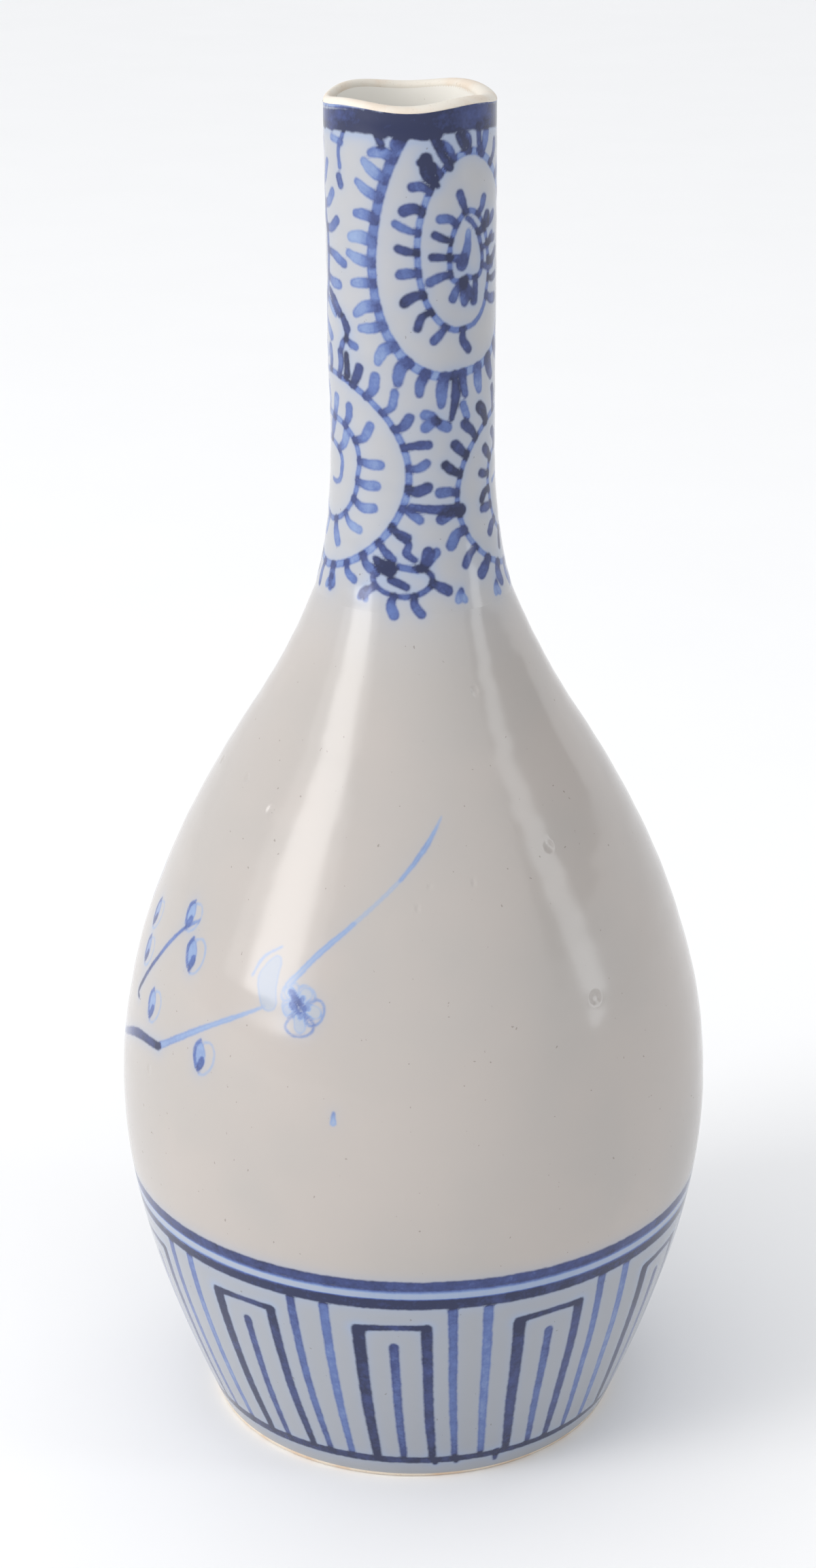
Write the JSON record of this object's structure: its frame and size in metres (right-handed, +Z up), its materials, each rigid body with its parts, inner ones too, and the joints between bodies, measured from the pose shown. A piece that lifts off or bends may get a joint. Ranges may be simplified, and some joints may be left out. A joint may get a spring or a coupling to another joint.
{
  "type": "sake bottle",
  "caption": "Long-necked porcelain sake bottle with a pear-shaped bulb, bare lip and turned foot ring, painted in blue under a clear glaze.",
  "frame": {"origin": "centre of the foot ring's resting plane", "axes": "+Z up along the axis the bottle was turned about; -Y towards the side with the belly painting seen in the usual view, +X to that view's right"},
  "size_m": [0.095, 0.095, 0.2156],
  "materials": {
    "foot_biscuit": "bare fired porcelain, matt and faintly sandy, warm white",
    "lip_biscuit": "bare fired porcelain, matt, cream with a tan flush on one side",
    "painted_glaze": "glossy clear glaze over greyish white, with cobalt-blue brush painting",
    "lining_glaze": "glossy clear glaze over greyish white",
    "recess_glaze": "glossy clear glaze over greyish white, with kiln grit"
  },
  "bodies": {
    "root": {"body": "foot_biscuit", "neck": "lip_biscuit", "outer_glaze": "painted_glaze", "inner_glaze": "lining_glaze", "base_glaze": "recess_glaze"}
  },
  "joints": []
}
